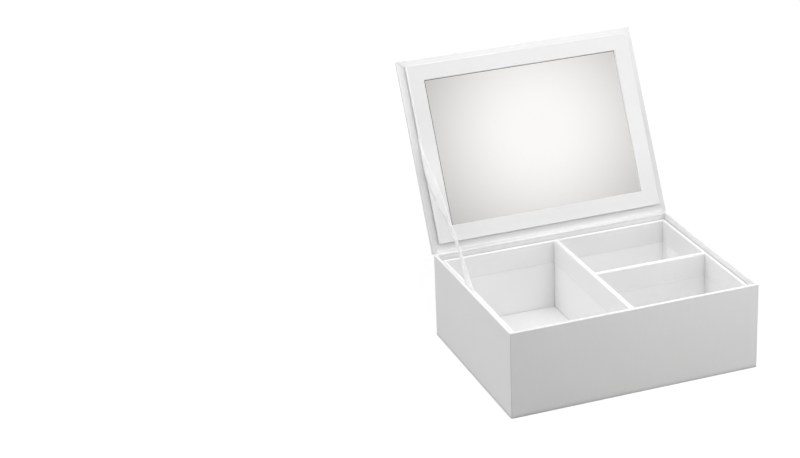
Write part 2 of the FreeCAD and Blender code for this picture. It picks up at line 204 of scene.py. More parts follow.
class StageSettings(bpy.types.PropertyGroup):
    """Camera, lamps and floor."""
    azimuth: angle("Azimuth", "Camera's turn round the box", -18.928)
    elevation: angle("Elevation", "Camera's height above the horizon", 23.286)
    roll: angle("Roll", "Camera's roll", -2.472)
    distance: length("Distance", "From the camera to the plane it looks at", 1634.7)
    aim_left: length("Aim left", "How far left of the box the camera looks", 154.88)
    aim_up: length("Aim up", "How far above the middle of the case it looks", 65.57)
    aim_height: length("Aim height", "Height of the middle of the case", 35.3)
    lens: bpy.props.FloatProperty(name="Lens", description="Focal length in millimetres",
                                  default=91.56, min=1.0)
    room: number("Room light", "Strength of the even light all round", 0.2)
    lamps: number("Lamps", "Strength of all the lamps together", 1.0)
    card: number("Card", "Strength of the card that the mirror shows", 1.01)
    card_edge: number("Card edge", "Strength at the card's rim", 0.46)
    card_start: length("Card start", "From the card's middle to where it starts to fall off", 29.0)
    card_reach: length("Card reach", "From the card's middle to its rim", 278.0)


def settings(group):
    """The scene's settings of one group."""
    return getattr(bpy.context.scene, "jewelbox_" + group)


# ---------------------------------------------------------------- folding and cutting

def rectangle(bm, half, level, filled=False):
    """A rectangle of edges round the Z axis, from its half width and half depth."""
    made = bmesh.ops.create_circle(bm, cap_ends=filled, segments=4, radius=math.sqrt(2.0),
                                   matrix=Matrix.Rotation(math.radians(45), 4, "Z"))
    verts = made["verts"]
    bmesh.ops.scale(bm, vec=(half[0], half[1], 1.0), verts=verts)
    bmesh.ops.translate(bm, vec=(0.0, 0.0, level), verts=verts)
    return verts


def verts_made(made):
    """The vertices in what a bmesh operator made."""
    return [item for item in made["geom"] if isinstance(item, bmesh.types.BMVert)]


def edges_among(verts):
    """The edges that join two of these vertices, always in the same order."""
    chosen = set(verts)
    return [edge for edge in dict.fromkeys(e for v in verts for e in v.link_edges)
            if edge.verts[0] in chosen and edge.verts[1] in chosen]


def fold_sleeve(bm, half, steps, filled=False):
    """Paper folded round a board: each step is (margin inside the outline, level).

    Returns the folds, one list of edges for each step, and the edges that join the corners of
    each fold to the next one.
    """
    margin, level = steps[0]
    verts = rectangle(bm, (half[0] - margin, half[1] - margin), level, filled)
    folds = [edges_among(verts)]
    corners = []
    for next_margin, next_level in steps[1:]:
        new = verts_made(bmesh.ops.extrude_edge_only(bm, edges=folds[-1]))
        ratio = [(side - next_margin) / (side - margin) for side in half]
        bmesh.ops.scale(bm, vec=(ratio[0], ratio[1], 1.0), verts=new)
        bmesh.ops.translate(bm, vec=(0.0, 0.0, next_level - level), verts=new)
        corners.append([e for v in new for e in v.link_edges if e.other_vert(v) in verts])
        folds.append(edges_among(new))
        verts, margin, level = new, next_margin, next_level
    return folds, corners


def round_edges(bm, edges, radius, segments=3):
    """Round edges over, the new faces shaded smooth."""
    made = bmesh.ops.bevel(bm, geom=edges, offset=radius, offset_type="OFFSET",
                           segments=segments, profile=0.5, affect="EDGES", material=-1,
                           clamp_overlap=True)
    for face in made["faces"]:
        face.smooth = True


def slit_mitres(bm, half, keep, width):
    """Part the flaps along the corners' diagonals, where keep(middle of an edge) holds."""
    chosen = []
    for edge in bm.edges:
        ends = [vertex.co for vertex in edge.verts]
        middle = (ends[0] + ends[1]) / 2
        on_diagonal = all(abs((half[0] - abs(at.x)) - (half[1] - abs(at.y))) < CLOSE
                          for at in ends + [middle])
        if on_diagonal and keep(middle):
            chosen.append(edge)
    made = bmesh.ops.bevel(bm, geom=chosen, offset=width / 2, offset_type="OFFSET", segments=1,
                           profile=0.5, affect="EDGES", material=-1, clamp_overlap=True)
    bmesh.ops.delete(bm, geom=made["faces"], context="FACES")


def past_fold(half, radius):
    """A test that holds where a place lies inside the rounding of an outline's sides."""
    return lambda at: half[0] - abs(at.x) > radius * 1.2


def block(bm, low, high, arris):
    """A cut board between two corners, its edges just softened."""
    low, high = Vector(low), Vector(high)
    made = bmesh.ops.create_cube(bm, size=1.0)
    bmesh.ops.scale(bm, vec=high - low, verts=made["verts"])
    bmesh.ops.translate(bm, vec=(low + high) / 2, verts=made["verts"])
    if arris:
        round_edges(bm, edges_among(made["verts"]), arris, segments=2)


def corners_of(points):
    """The lowest and highest corner of the box round some points."""
    low = Vector([min(point[axis] for point in points) for axis in range(3)])
    high = Vector([max(point[axis] for point in points) for axis in range(3)])
    return low, high


def shut_box(node):
    """The corners of a lid node's box as it lies when the lid is shut."""
    return corners_of([SWING_SHUT @ vertex.co for vertex in frame["nodes"][node].data.vertices])


def insert_box():
    """The corners of the box round the three trays together."""
    return corners_of([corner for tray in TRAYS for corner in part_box(tray + "_wrap")])


def link_mesh(name, bm, material):
    """Make a bmesh into an object in the scene."""
    mesh = bpy.data.meshes.new(name)
    bm.to_mesh(mesh)
    bm.free()
    mesh.materials.append(material)
    made = bpy.data.objects.new(name, mesh)
    bpy.context.scene.collection.objects.link(made)
    return made


def thicken(piece, name, thickness, offset):
    """Give a sheet its thickness by a Solidify modifier, which is returned."""
    thick = piece.modifiers.new(name, "SOLIDIFY")
    thick.thickness = thickness
    thick.offset = offset
    return thick


def finish_piece(name, bm, material, sheet=0.0, shift=None, swing=False):
    """Make a bmesh into a named piece, with paper thickness behind its face if sheet is given."""
    if shift:
        bmesh.ops.translate(bm, vec=shift, verts=bm.verts)
    if swing:
        bmesh.ops.transform(bm, matrix=SWING_OPEN, verts=bm.verts)
    piece = link_mesh(name, bm, material)
    if sheet:
        thicken(piece, "paper thickness", sheet, -1.0).use_even_offset = True
    return piece


def boxed(node, shut=False):
    """A node's half width and depth, the shift to its middle, and its lowest and highest level."""
    low, high = shut_box(node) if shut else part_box(node)
    half = ((high.x - low.x) / 2, (high.y - low.y) / 2)
    shift = ((high.x + low.x) / 2, (high.y + low.y) / 2, 0.0)
    return half, shift, low.z, high.z


# ---------------------------------------------------------------- shader helpers

def put(tree, kind, inputs=None, **values):
    """Add a node, set its values, and feed its inputs from numbers or from other sockets."""
    node = tree.nodes.new("ShaderNode" + kind)
    for key, value in values.items():
        setattr(node, key, value)
    for key, value in (inputs or {}).items():
        if isinstance(value, bpy.types.NodeSocket):
            tree.links.new(value, node.inputs[key])
        else:
            node.inputs[key].default_value = value
    return node


def maths(tree, operation, first, second=0.0):
    """The output of a math node."""
    return put(tree, "Math", {0: first, 1: second}, operation=operation).outputs[0]


def vector_maths(tree, operation, first, second=(0.0, 0.0, 0.0)):
    """The output of a vector math node."""
    return put(tree, "VectorMath", {0: first, 1: second}, operation=operation).outputs[0]


def raised_by(tree, value, mask, amount):
    """A value with an amount added where the mask is 1."""
    return maths(tree, "ADD", value, maths(tree, "MULTIPLY", mask, amount))


def lowered_by(tree, value, mask, amount):
    """A value with an amount taken off where the mask is 1."""
    return maths(tree, "SUBTRACT", value, maths(tree, "MULTIPLY", mask, amount))


def ramp(tree, value, start, end, low=0.0, high=1.0):
    """A smooth step of value from start to end."""
    node = put(tree, "MapRange", {"Value": value, "From Min": start, "From Max": end,
                                  "To Min": low, "To Max": high},
               interpolation_type="SMOOTHSTEP")
    return node.outputs["Result"]


def new_group(name, inputs, outputs):
    """An empty shader node group: (tree, its input node, its output node)."""
    tree = bpy.data.node_groups.new(name, "ShaderNodeTree")
    for socket, kind, default in inputs:
        made = tree.interface.new_socket(name=socket, in_out="INPUT", socket_type=kind)
        if default is not None:
            made.default_value = default
    for socket, kind in outputs:
        tree.interface.new_socket(name=socket, in_out="OUTPUT", socket_type=kind)
    return tree, tree.nodes.new("NodeGroupInput"), tree.nodes.new("NodeGroupOutput")


def place_group(tree, name, inputs):
    """A node group placed in a material, with its own values."""
    return put(tree, "Group", inputs, node_tree=bpy.data.node_groups[name])


FLOAT, VECTOR = "NodeSocketFloat", "NodeSocketVector"
WHITE = (1.0, 1.0, 1.0, 1.0)


def make_paper_grain():
    """Fine streaks along Z and a slow cloudiness: a tint near 1, and a height for bump."""
    tree, given, out = new_group(
        "paper_grain",
        (("Vector", VECTOR, None), ("Fineness", FLOAT, 900.0), ("Streak", FLOAT, 0.06),
         ("Grain Amount", FLOAT, 0.03), ("Cloud Amount", FLOAT, 0.02)),
        (("Tint", FLOAT), ("Height", FLOAT)))
    long_way = put(tree, "CombineXYZ", {"X": 1.0, "Y": 1.0, "Z": given.outputs["Streak"]})
    drawn = vector_maths(tree, "MULTIPLY", given.outputs["Vector"], long_way.outputs[0])
    fibres = put(tree, "TexNoise", {"Vector": drawn, "Scale": given.outputs["Fineness"],
                                    "Detail": 3.0, "Roughness": 0.6})
    tooth = put(tree, "TexNoise", {"Vector": given.outputs["Vector"], "Scale": 2600.0,
                                   "Detail": 2.0})
    clouds = put(tree, "TexNoise", {"Vector": given.outputs["Vector"], "Scale": 22.0,
                                    "Detail": 2.0})
    grain = maths(tree, "MULTIPLY", maths(tree, "SUBTRACT", fibres.outputs["Fac"], 0.5),
                  given.outputs["Grain Amount"])
    cloud = maths(tree, "MULTIPLY", maths(tree, "SUBTRACT", clouds.outputs["Fac"], 0.5),
                  given.outputs["Cloud Amount"])
    tint = maths(tree, "ADD", maths(tree, "ADD", grain, cloud), 1.0)
    height = maths(tree, "ADD", maths(tree, "MULTIPLY", fibres.outputs["Fac"], 0.6),
                   maths(tree, "MULTIPLY", tooth.outputs["Fac"], 0.4))
    tree.links.new(tint, out.inputs["Tint"])
    tree.links.new(height, out.inputs["Height"])


def make_specks():
    """A few small flecks, as recycled fibre leaves in white paper: 1 in a fleck, else 0."""
    tree, given, out = new_group(
        "specks",
        (("Vector", VECTOR, None), ("Spacing", FLOAT, 40.0), ("Size", FLOAT, 0.02),
         ("Share", FLOAT, 0.3)),
        (("Mask", FLOAT),))
    cells = put(tree, "TexVoronoi", {"Vector": given.outputs["Vector"],
                                     "Scale": given.outputs["Spacing"]})
    core = maths(tree, "MULTIPLY", given.outputs["Size"], 0.4)
    near = ramp(tree, cells.outputs["Distance"], core, given.outputs["Size"], 1.0, 0.0)
    chance = put(tree, "SeparateColor", {"Color": cells.outputs["Color"]})
    chosen = maths(tree, "LESS_THAN", chance.outputs[0], given.outputs["Share"])
    tree.links.new(maths(tree, "MULTIPLY", near, chosen), out.inputs["Mask"])


def make_edge_wear():
    """How near a point is to the edges of a box: 1 on an edge, 0 beyond the reach."""
    tree, given, out = new_group(
        "edge_wear",
        (("Vector", VECTOR, None), ("Half Size", VECTOR, None), ("Reach", FLOAT, 0.002)),
        (("Mask", FLOAT),))
    size = vector_maths(tree, "ABSOLUTE", given.outputs["Vector"])
    inside = vector_maths(tree, "SUBTRACT", given.outputs["Half Size"], size)
    x, y, z = put(tree, "SeparateXYZ", {0: inside}).outputs
    low = maths(tree, "MINIMUM", x, y)
    high = maths(tree, "MAXIMUM", x, y)
    second = maths(tree, "MAXIMUM", low, maths(tree, "MINIMUM", high, z))
    rubbed = put(tree, "TexNoise", {"Vector": given.outputs["Vector"], "Scale": 160.0,
                                    "Detail": 3.0})
    reach = maths(tree, "MULTIPLY", given.outputs["Reach"],
                  maths(tree, "ADD", rubbed.outputs["Fac"], 0.4))
    tree.links.new(ramp(tree, maths(tree, "DIVIDE", second, reach), 0.0, 1.0, 1.0, 0.0),
                   out.inputs["Mask"])


def new_material(name):
    """A material with a Principled shader: (material, tree, shader)."""
    material = bpy.data.materials.new(name)
    material.use_nodes = True
    tree = material.node_tree
    return material, tree, tree.nodes["Principled BSDF"]


def bare_material(name):
    """A material whose node tree is still empty: (material, tree)."""
    material = bpy.data.materials.new(name)
    material.use_nodes = True
    material.node_tree.nodes.clear()
    return material, material.node_tree


def colour_from(tree, shader, base, tint):
    """Make a colour, multiplied by a grey value, the shader's base colour."""
    tree.links.new(vector_maths(tree, "MULTIPLY", base, tint), shader.inputs["Base Color"])


def emboss(tree, shader, height, strength, depth):
    """Give the shader's surface a fine relief from a height."""
    raised = put(tree, "Bump", {"Height": height, "Strength": strength, "Distance": depth})
    tree.links.new(raised.outputs[0], shader.inputs["Normal"])


def shut_coordinates(tree):
    """Object coordinates turned so that an open lid's pattern lies as when it is shut."""
    where = put(tree, "TexCoord")
    turned = put(tree, "Mapping", {"Vector": where.outputs["Object"],
                                   "Location": SWING_SHUT.to_translation(),
                                   "Rotation": SWING_SHUT.to_euler()})
    return turned.outputs[0]


def centred_on(tree, place, box):
    """Coordinates from the middle of a box."""
    low, high = box
    return put(tree, "Mapping", {"Vector": place, "Location": -(low + high) / 2}).outputs[0]


def level_of(tree, place):
    """How high a point lies."""
    return put(tree, "SeparateXYZ", {0: place}).outputs[2]


def inset(tree, place, box):
    """How far a point lies inside a box's outline, seen along Z."""
    low, high = box
    size = vector_maths(tree, "ABSOLUTE", centred_on(tree, place, box))
    inside = vector_maths(tree, "SUBTRACT", (high - low) / 2, size)
    parts = put(tree, "SeparateXYZ", {0: inside})
    return maths(tree, "MINIMUM", parts.outputs[0], parts.outputs[1])


def near_rim(tree, place, box):
    """1 at the top of a box, 0 from the rim's depth below it on."""
    top = box[1].z
    return ramp(tree, level_of(tree, place), top - RIM_DEPTH, top - RIM_DEPTH / 4)


def rim_tint(tree, place, box, pale_rim, pale_inside):
    """Painted light: how much paler a paper is painted at its rim (painted highlight) and within its
    outline.
    """
    gain = maths(tree, "MULTIPLY", near_rim(tree, place, box), pale_rim)
    if pale_inside:
        within = ramp(tree, inset(tree, place, box), RIM_DEPTH / 3, RIM_DEPTH)
        gain = maths(tree, "MAXIMUM", gain, maths(tree, "MULTIPLY", within, pale_inside))
    return gain


def level_shade(tree, place, middle, reach):
    """1 at a level, 0 from the reach above or below it on."""
    off = maths(tree, "ABSOLUTE", maths(tree, "SUBTRACT", level_of(tree, place), middle))
    return ramp(tree, off, reach * 0.3, reach, 1.0, 0.0)


def inner_dulling(tree, place, box, start, end, first, last):
    """Painted shade that grows from first to last along Y, on the side of a lid's paper that faces
    into the case; where it is below 0 it is painted light.
    """
    parts = put(tree, "SeparateXYZ", {0: place})
    skin = box[0].z + INNER_SKIN
    facing_in = ramp(tree, parts.outputs[2], skin, skin + INNER_SKIN, 1.0, 0.0)
    return maths(tree, "MULTIPLY", facing_in,
                 ramp(tree, parts.outputs[1], start, end, first, last))


def rim_glow(tree, shader, place, amount):
    """Painted light: a glow on the trays' rims nearest the case's walls, which shade them, so that
    they show as white as the middle ones.
    """
    box = insert_box()
    rim = near_rim(tree, place, box)
    outermost = maths(tree, "LESS_THAN", inset(tree, place, box), RIM_GLOW_REACH)
    tree.links.new(maths(tree, "MULTIPLY", rim, outermost), shader.inputs["Emission Color"])
    shader.inputs["Emission Strength"].default_value = amount


# Roughness of the papers, and the relief of papers and boards in metres.
PAPER_ROUGHNESS = 0.52
LABEL_ROUGHNESS = 0.5
PAPER_TOOTH = 0.00004
BOARD_TOOTH = 0.00006


def toned(tree, tint, place, box, pale_rim=0.0, pale_inside=0.0, pale_edge=0.0, dull=None,
          shades=()):
    """A paper's tint with its slow changes of tone.

    These tones are painted light and shade. The painted rim light, the painted inside light and the
    painted edge highlight lift the rim, what lies within the outline, and a lid's or frame's outer
    edge.
    A painted shading is (start, end, first, last): from where to where along Y it grows, and how
    much; it is painted shade, and painted light where it is below 0.
    Each of the painted shades is (level, reach, amount): a soft line of painted shade, or of painted
    highlight where the amount is below 0.
    """
    if pale_rim:
        tint = maths(tree, "ADD", tint, rim_tint(tree, place, box, pale_rim, pale_inside))
    # Painted shade and light over a lid's inner face.
    if dull:
        tint = maths(tree, "SUBTRACT", tint, inner_dulling(tree, place, box, *dull))
    # Painted highlight along a lid's or frame's outer edge.
    if pale_edge:
        edge = ramp(tree, inset(tree, place, box), RIM_DEPTH / 2, RIM_DEPTH * 1.3, 1.0, 0.0)
        tint = raised_by(tree, tint, edge, pale_edge)
    # Soft lines of painted shade, or of painted highlight where the amount is below 0.
    for level, reach, amount in shades:
        tint = lowered_by(tree, tint, level_shade(tree, place, level, reach), amount)
    return tint


def paper_material(name, base, box, on_lid=False, streak=0.06, grain=0.05, cloud=0.03,
                   bump=0.12, worn=0.03, glow=0.0, **tones):
    """Matt covering paper: streaked grain, faint clouds, rare flecks and rubbed edges.

    What else is given are the tones that toned() takes. The edges are made paler partly by real
    rubbing and partly as a painted highlight; glow is painted light.
    """
    material, tree, shader = new_material(name)
    place = shut_coordinates(tree) if on_lid else put(tree, "TexCoord").outputs["Object"]
    low, high = box
    centred = centred_on(tree, place, box)
    upright = centred
    if on_lid:
        upright = put(tree, "Mapping", {"Vector": centred,
                                        "Rotation": (math.radians(90), 0.0, 0.0)}).outputs[0]
    grained = place_group(tree, "paper_grain", {"Vector": upright, "Streak": streak,
                                                "Grain Amount": grain, "Cloud Amount": cloud})
    flecks = place_group(tree, "specks", {"Vector": place, "Spacing": 45.0, "Size": 0.022,
                                          "Share": 0.16})
    wear = place_group(tree, "edge_wear", {"Vector": centred, "Half Size": (high - low) / 2,
                                           "Reach": 0.0016})
    tint = lowered_by(tree, grained.outputs["Tint"], flecks.outputs["Mask"], 0.12)
    # Paler edges: partly rubbed paper, partly painted highlight.
    tint = raised_by(tree, tint, wear.outputs["Mask"], worn)
    colour_from(tree, shader, base, toned(tree, tint, place, box, **tones))
    # glow is painted light on the trays' outermost rims.
    if glow:
        rim_glow(tree, shader, place, glow)
    tree.links.new(raised_by(tree, PAPER_ROUGHNESS, wear.outputs["Mask"], 0.14),
                   shader.inputs["Roughness"])
    shader.inputs["Specular IOR Level"].default_value = 0.3
    emboss(tree, shader, grained.outputs["Height"], bump, PAPER_TOOTH)
    return material


def board_material(name, base, contrast, rough=0.8, floor=None):
    """Uncoated board: short fibres in every direction and a soft mottle.

    floor gives the level below which the board is painted darker, as painted shade on the trays'
    floors, and by how much.
    """
    material, tree, shader = new_material(name)
    place = put(tree, "TexCoord").outputs["Object"]
    grained = place_group(tree, "paper_grain", {"Vector": place, "Fineness": 1500.0,
                                                "Streak": 1.0, "Grain Amount": contrast,
                                                "Cloud Amount": contrast * 0.5})
    flecks = place_group(tree, "specks", {"Vector": place, "Spacing": 160.0, "Size": 0.05,
                                          "Share": 0.1})
    tint = lowered_by(tree, grained.outputs["Tint"], flecks.outputs["Mask"], contrast)
    # Painted shade on the trays' floors.
    if floor:
        level, duller = floor
        low = maths(tree, "LESS_THAN", level_of(tree, place), level)
        tint = lowered_by(tree, tint, low, duller)
    colour_from(tree, shader, base, tint)
    shader.inputs["Roughness"].default_value = rough
    shader.inputs["Specular IOR Level"].default_value = 0.2
    emboss(tree, shader, grained.outputs["Height"], 0.25, BOARD_TOOTH)
    return material


def rgb(value):
    """A colour setting as a vector."""
    return Vector(value)


# ---------------------------------------------------------------- case and trays

def covered_wall(board):
    """The thickness of a wall: its board with paper on both faces."""
    low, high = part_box(board)
    return high.x - low.x + 2 * settings("paper").sheet


def make_case_paper():
    """The case's paper: turned under, up the walls, over the rim and turned in."""
    paper = settings("paper")
    half, shift, foot, rim = boxed("case_wrap")
    wall = covered_wall("case_left_board")
    bm = bmesh.new()
    folds, corners = fold_sleeve(bm, half, ((paper.case_turn_under, foot), (0.0, foot),
                                            (0.0, rim), (wall, rim),
                                            (wall, rim - paper.case_turn_in)))
    round_edges(bm, folds[1] + folds[2] + folds[3] + corners[1], paper.fold)
    bmesh.ops.recalc_face_normals(bm, faces=bm.faces)
    slit_mitres(bm, half, past_fold(half, paper.fold), paper.slit)
    cut_seam(bm, half, paper)
    # The case's paper is painted paler at its rim (painted highlight) and on its inner faces
    # (painted light), and darker just above its foot (painted shade where the box meets the floor).
    material = paper_material("cover_paper", rgb(settings("finish").cover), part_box("case_wrap"),
                              pale_rim=0.11, pale_inside=0.075,
                              shades=((foot, FOOT_DEPTH, 0.06), (foot, FOOT_DEPTH / 2, 0.07)))
    piece = finish_piece("case_paper", bm, material, paper.sheet, shift)
    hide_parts("case_wrap")
    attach(piece, "case")


def cut_seam(bm, half, paper):
    """The upright seam where the paper's two ends meet, just round the front left corner."""
    start = -half[0] + paper.fold
    end = start + paper.slit
    for place in (start, end):
        front = [f for f in bm.faces if f.normal.y < -0.99]
        around = list(dict.fromkeys(e for f in front for e in f.edges))
        corners = list(dict.fromkeys(v for f in front for v in f.verts))
        bmesh.ops.bisect_plane(bm, geom=front + around + corners, dist=CLOSE / 10,
                               plane_co=(place, 0.0, 0.0), plane_no=(1.0, 0.0, 0.0))
    strip = [f for f in bm.faces if f.normal.y < -0.99
             and start - CLOSE < f.calc_center_median().x < end + CLOSE]
    bmesh.ops.delete(bm, geom=strip, context="FACES")


def make_tray_paper(tray, material):
    """One tray's paper, with the side flaps' tabs lapped round its inner corners."""
    paper = settings("paper")
    half, shift, foot, rim = boxed(tray + "_wrap")
    wall = covered_wall(tray + "_left_board")
    foot_of_flap = rim - paper.tray_turn_in
    bm = bmesh.new()
    folds, corners = fold_sleeve(bm, half, ((paper.tray_turn_under, foot), (0.0, foot),
                                            (0.0, rim), (wall, rim),
                                            (wall, foot_of_flap + 8 * paper.lift),
                                            (wall + paper.lift, foot_of_flap)))
    round_edges(bm, folds[1] + folds[2] + folds[3] + corners[1], paper.tray_fold)
    waver_edge(bm, foot_of_flap, paper.waver)
    bmesh.ops.recalc_face_normals(bm, faces=bm.faces)
    slit_mitres(bm, half, past_fold(half, paper.tray_fold), paper.tray_slit)
    add_tabs(bm, half, wall, rim, foot_of_flap)
    piece = finish_piece(tray + "_paper", bm, material, paper.sheet, shift)
    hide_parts(tray + "_wrap")
    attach(piece, "case")


# How many points are added along each side of a cut edge, and how quickly the edge strays.
EDGE_CUTS = 14
WAVER_SCALE = 60.0


def waver_edge(bm, level, amount):
    """Let a turn-in's cut edge stray a little, as a hand-fed sheet does."""
    edge = [e for e in bm.edges if all(abs(v.co.z - level) < CLOSE for v in e.verts)]
    bmesh.ops.subdivide_edges(bm, edges=edge, cuts=EDGE_CUTS, use_grid_fill=False)
    for vert in bm.verts:
        if abs(vert.co.z - level) < CLOSE:
            vert.co.z += amount * noise.noise(vert.co * WAVER_SCALE)


def add_tabs(bm, half, wall, rim, level):
    """The side flaps' ends, lapped round the four inner corners onto the front and back walls."""
    paper = settings("paper")
    inner = (half[0] - wall, half[1] - wall - paper.sheet)
    top = rim - 2 * paper.tray_fold
    drop = level + paper.waver - top
    for side in (-1, 1):
        for end in (-1, 1):
            start = bmesh.ops.create_vert(bm, co=(side * inner[0], end * inner[1], top))["vert"]
            made = bmesh.ops.extrude_vert_indiv(bm, verts=start)
            bmesh.ops.translate(bm, vec=(-side * paper.tab, 0.0, 0.0), verts=made["verts"])
            made = bmesh.ops.extrude_edge_only(bm, edges=made["edges"])
            bmesh.ops.translate(bm, vec=(0.0, 0.0, drop), verts=verts_made(made))
            tab = [g for g in made["geom"] if isinstance(g, bmesh.types.BMFace)]
            tab[0].normal_update()
            if tab[0].normal.y * end > 0:
                bmesh.ops.reverse_faces(bm, faces=tab)


def make_tray_boards(tray, material):
    """One tray's floor and walls, cut a hair short where they butt."""
    boards = settings("boards")
    gap = boards.joint_gap if tray == "left_tray" else boards.small_gap
    short = {"floor": (gap, gap), "left": (0.0, gap), "right": (0.0, gap)}
    bm = bmesh.new()
    for part in TRAY_PARTS:
        low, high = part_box(f"{tray}_{part}_board")
        less = Vector(short.get(part, (0.0, 0.0)) + (0.0,))
        block(bm, low + less, high - less, boards.arris)
    piece = finish_piece(tray + "_boards", bm, material)
    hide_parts(*(f"{tray}_{part}_board" for part in TRAY_PARTS))
    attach(piece, "case")


def make_trays():
    """The three trays, each with its boards and its paper."""
    finish = settings("finish")
    floor = (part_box("left_tray_floor_board")[1].z + FLOOR_SEAM, finish.floor_shade)
    board = board_material("white_board", rgb(finish.board), 0.04, floor=floor)
    # The back tray's boards use a paler copy of the same board: painted light.
    back_board = board_material("back_tray_board", rgb(finish.board) * 1.05, 0.04, floor=floor)
    for tray in TRAYS:
        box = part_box(tray + "_wrap")
        flap = box[1].z - settings("paper").tray_turn_in
        # Each tray's paper: painted highlight on its rims, a painted shadow line under the flaps'
        # cut edges, and painted light (a glow) on the outermost rims.
        paper = paper_material(tray + "_paper", rgb(finish.lining), box, grain=0.03,
                               pale_rim=0.105, shades=((flap, 0.0009, 0.055),), glow=0.12)
        make_tray_paper(tray, paper)
        make_tray_boards(tray, back_board if tray == "back_tray" else board)


# ---------------------------------------------------------------- lid

def make_lid_paper():
    """The lid's paper: its outer face, its edges, and four mitred flaps on the inner face."""
    paper = settings("paper")
    half, shift, under, top = boxed("lid_wrap", shut=True)
    bm = bmesh.new()
    folds, corners = fold_sleeve(bm, half, ((0.0, top), (0.0, under),
                                            (paper.lid_turn_in, under)), filled=True)
    round_edges(bm, folds[0] + folds[1] + corners[0], paper.fold)
    bmesh.ops.recalc_face_normals(bm, faces=bm.faces)
    slit_mitres(bm, half, past_fold(half, paper.fold), paper.slit)
    # The lid's paper: painted light towards its top and painted shade towards the hinge over its
    # inner face, and a painted highlight on its outer edge.
    material = paper_material("lid_paper", rgb(settings("finish").lid), shut_box("lid_wrap"),
                              on_lid=True, dull=(-0.055, 0.02, -0.05, 0.085),
                              pale_edge=0.025)
    piece = finish_piece("lid_paper", bm, material, paper.sheet, shift, swing=True)
    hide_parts("lid_wrap")
    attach(piece, "lid")


def make_label():
    """The dark square keeps its CAD sheet and gets a printed, slightly rubbed finish."""
    material, tree, shader = new_material("label_print")
    low, high = shut_box("lid_label")
    centred = centred_on(tree, shut_coordinates(tree), (low, high))
    grained = place_group(tree, "paper_grain", {"Vector": centred, "Streak": 1.0,
                                                "Fineness": 1300.0, "Grain Amount": 0.25,
                                                "Cloud Amount": 0.2})
    edge = Vector(((high.x - low.x) / 2, (high.y - low.y) / 2, 1.0))
    wear = place_group(tree, "edge_wear", {"Vector": centred, "Half Size": edge,
                                           "Reach": 0.0008})
    tint = raised_by(tree, grained.outputs["Tint"], wear.outputs["Mask"], 0.6)
    colour_from(tree, shader, rgb(settings("finish").label), tint)
    tree.links.new(raised_by(tree, LABEL_ROUGHNESS, grained.outputs["Height"], 0.12),
                   shader.inputs["Roughness"])
    shader.inputs["Specular IOR Level"].default_value = 0.02
    emboss(tree, shader, grained.outputs["Height"], 0.15, PAPER_TOOTH)
    dress("lid_label", material)


def dress(node, material):
    """Give a CAD node that stays in sight its material."""
    slots = frame["nodes"][node].data.materials
    slots.clear()
    slots.append(material)


# ---------------------------------------------------------------- mirror pad

def make_pad_paper():
    """The frame's paper, round its outline and through its window."""
    pad = settings("pad")
    paper = settings("paper")
    half, shift, face, back = boxed("pad_frame_wrap", shut=True)
    bm = bmesh.new()
    folds, corners = fold_sleeve(bm, half, ((pad.turn_in, back), (0.0, back), (0.0, face),
                                            (pad.border, face), (pad.border, back),
                                            (pad.border - pad.window_turn_in, back)))
    round_edges(bm, folds[2] + folds[3] + corners[1], pad.edge, segments=4)
    bmesh.ops.recalc_face_normals(bm, faces=bm.faces)
    slit_mitres(bm, half, lambda at: at.z > face + pad.edge * 1.1, paper.slit)
    # The frame's paper: painted shade growing towards its foot, and a painted highlight on its outer
    # edge.
    material = paper_material("pad_paper", rgb(settings("finish").pad),
                              shut_box("pad_frame_wrap"), on_lid=True, grain=0.03,
                              dull=(0.0, 0.075, 0.0, 0.075), pale_edge=0.045)
    piece = finish_piece("pad_paper", bm, material, paper.sheet, shift, swing=True)
    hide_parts("pad_frame_wrap")
    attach(piece, "lid")


def make_mirror():
    """The mirror: a glass plate with ground edges round its face."""
    low, high = shut_box("mirror")
    bm = bmesh.new()
    block(bm, low, high, 0.0)
    rim = [e for e in bm.edges if all(v.co.z < (low.z + high.z) / 2 for v in e.verts)]
    round_edges(bm, rim, settings("pad").mirror_arris, segments=1)
    for face in bm.faces:
        face.smooth = False
    piece = finish_piece("mirror_plate", bm, mirror_material(), swing=True)
    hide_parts("mirror")
    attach(piece, "lid")


def mirror_material():
    """Silvering seen through clear glass, with faint smears, dust and a painted shade hairline round
    it, the shade of the gap at the window's edge.
    """
    material, tree, shader = new_material("mirror_silver")
    place = shut_coordinates(tree)
    smears = put(tree, "TexNoise", {"Vector": place, "Scale": 60.0, "Detail": 4.0})
    dust = place_group(tree, "specks", {"Vector": place, "Spacing": 260.0, "Size": 0.04,
                                        "Share": 0.12})
    smeared = ramp(tree, smears.outputs["Fac"], 0.45, 0.75, 0.012, 0.03)
    tree.links.new(raised_by(tree, smeared, dust.outputs["Mask"], 0.1),
                   shader.inputs["Roughness"])
    dusty = lowered_by(tree, 1.0, dust.outputs["Mask"], 0.05)
    # The silvering is painted darker along its edge: painted shade of the gap round the mirror.
    silvered = lowered_by(tree, 1.0, mirror_margin(tree, place), 0.85)
    colour_from(tree, shader, rgb(settings("finish").silver),
                maths(tree, "MULTIPLY", dusty, silvered))
    shader.inputs["Metallic"].default_value = 1.0
    return material


def mirror_margin(tree, place):
    """1 in the painted shade hairline: the shaded gap between the mirror and the window's edge."""
    pad = settings("pad")
    low, high = shut_box("pad_frame_wrap")
    moved = Vector((pad.slip, pad.sink, 0.0))
    margin = Vector((pad.border + pad.side_margin, pad.border + pad.end_margin, 0.0))
    silvering = (low + moved + margin, high + moved - margin)
    return maths(tree, "LESS_THAN", inset(tree, place, silvering), 0.0)


# ---------------------------------------------------------------- hinge strip

